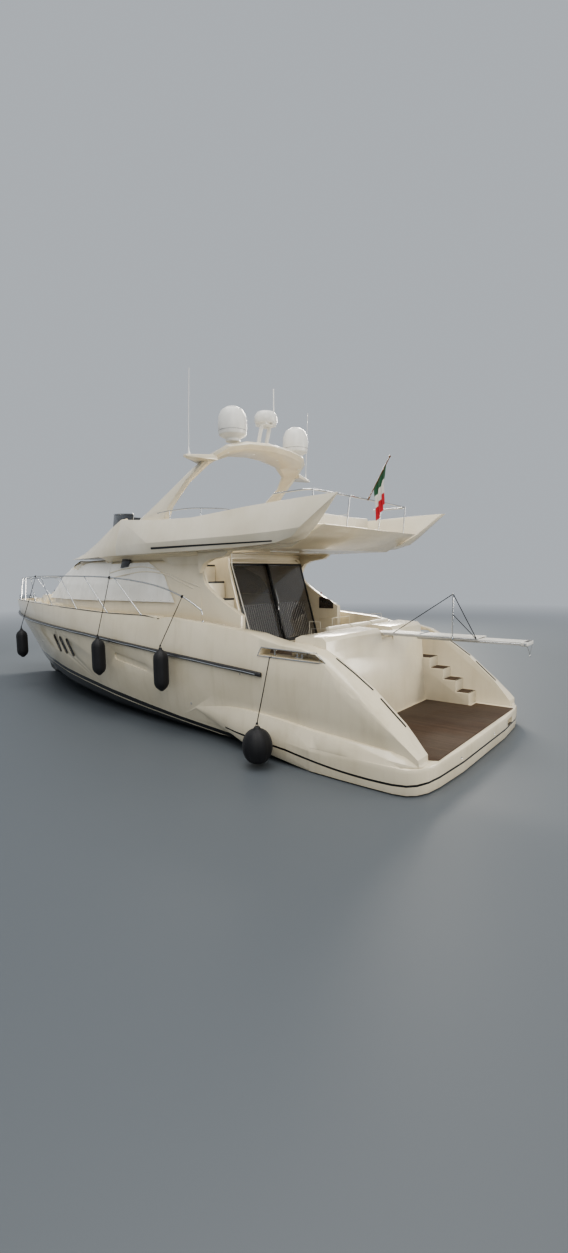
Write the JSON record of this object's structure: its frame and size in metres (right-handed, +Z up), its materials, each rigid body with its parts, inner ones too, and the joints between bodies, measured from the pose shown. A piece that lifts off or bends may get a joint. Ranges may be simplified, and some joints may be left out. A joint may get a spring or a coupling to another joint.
{
  "type": "flybridge motor yacht",
  "caption": "Flybridge motor yacht with a hollow saloon, raised side wings, a raked radar arch, a swim platform, a tilting gangway, turning rudders and propellers.",
  "frame": {"origin": "on the waterline under the aft edge of the swim platform, on the centreline", "axes": "+X forward to the bow, +Y to port, +Z up"},
  "size_m": [17.4, 6.17, 8.2683],
  "materials": {
    "hull_gelcoat": "as built",
    "gelcoat": "as built",
    "hatch": "as built",
    "rub_rail": "as built",
    "teak": "as built",
    "gangway": "as built",
    "window": "as built",
    "door": "as built",
    "canvas": "as built",
    "smoked": "as built",
    "wheel_rim": "as built",
    "cushion": "as built",
    "dome": "as built",
    "stainless": "as built",
    "flag_cloth": "as built",
    "bronze": "as built",
    "fender": "as built"
  },
  "bodies": {
    "boat": {"hull": "hull_gelcoat", "deck": "gelcoat", "swim_platform": "gelcoat", "coachroof": "gelcoat", "transom_block": "gelcoat", "deckhouse": "gelcoat", "fly_stair": "gelcoat", "fly_deck": "gelcoat", "wing_port": "gelcoat", "wing_stbd": "gelcoat", "fly_front": "gelcoat", "helm_console": "gelcoat", "radar_arch": "gelcoat", "rub_rail_port": "rub_rail", "rub_rail_stbd": "rub_rail", "platform_teak": "teak", "fly_table": "teak", "side_window_port": "window", "side_window_stbd": "window", "windscreen": "window", "door_fixed": "door", "windscreen_cover": "canvas", "side_cover_port": "canvas", "side_cover_stbd": "canvas", "fly_windshield": "smoked", "helm_seat": "cushion", "fly_sofa": "cushion", "cockpit_sofa": "cushion", "dome_port": "dome", "dome_stbd": "dome", "radar_mast": "dome", "fly_rail": "stainless", "bow_rail_port": "stainless", "bow_rail_stbd": "stainless", "bow_roller": "stainless", "anchor": "stainless", "flag": "flag_cloth", "shaft_port": "bronze", "shaft_stbd": "bronze", "fender_port_1": "fender", "fender_port_2": "fender", "fender_port_3": "fender", "ball_port": "fender", "fender_stbd_1": "fender", "ball_stbd": "fender"},
    "gangway_end": {"gangway_inner": "gangway"},
    "helm": {"helm_wheel": "wheel_rim"},
    "gangway": {"gangway_outer": "gangway"},
    "port_rudder": {"rudder_port": "bronze"},
    "hatch": {"foredeck_hatch": "hatch"},
    "stbd_rudder": {"rudder_stbd": "bronze"},
    "port_propeller": {"propeller_port": "bronze"},
    "stbd_propeller": {"propeller_stbd": "bronze"},
    "door": {"door_leaf": "door"}
  },
  "joints": [
    {"name": "hatch_hinge", "type": "hinge", "parent": "boat", "child": "hatch", "pos_m": [13.89, 0, 2.74], "axis": [0, 1, 0], "range_deg": [0, 75]},
    {"name": "door_slide", "type": "slide", "parent": "boat", "child": "door", "axis": [0, 1, 0], "range_m": [0, 1.2]},
    {"name": "gangway_tilt", "type": "hinge", "parent": "boat", "child": "gangway", "pos_m": [2.24, -0.09, 2.032], "axis": [0, 1, 0], "range_deg": [-5, 60]},
    {"name": "gangway_reach", "type": "slide", "parent": "gangway", "child": "gangway_end", "axis": [1, 0, 0], "range_m": [-0.75, 0.65]},
    {"name": "port_rudder_turn", "type": "hinge", "parent": "boat", "child": "port_rudder", "pos_m": [1.32, 0.8, -0.38], "axis": [0, 0, 1], "range_deg": [-35, 35]},
    {"name": "stbd_rudder_turn", "type": "hinge", "parent": "boat", "child": "stbd_rudder", "pos_m": [1.32, -0.8, -0.38], "axis": [0, 0, 1], "range_deg": [-35, 35]},
    {"name": "helm_turn", "type": "hinge", "parent": "boat", "child": "helm", "pos_m": [7.934, -0.65, 4.25], "axis": [0.9394, 0, -0.3429], "range_deg": [-540, 540]},
    {"name": "port_propeller_spin", "type": "hinge", "parent": "boat", "child": "port_propeller", "pos_m": [1.95, 0.8, -0.772], "axis": [0.9886, 0, 0.1503], "continuous": true},
    {"name": "stbd_propeller_spin", "type": "hinge", "parent": "boat", "child": "stbd_propeller", "pos_m": [1.95, -0.8, -0.772], "axis": [0.9886, 0, 0.1503], "continuous": true}
  ],
  "couplings": [
    {"joint": "stbd_rudder_turn", "follows": "port_rudder_turn", "ratio": 1},
    {"joint": "helm_turn", "follows": "port_rudder_turn", "ratio": 15.428}
  ]
}
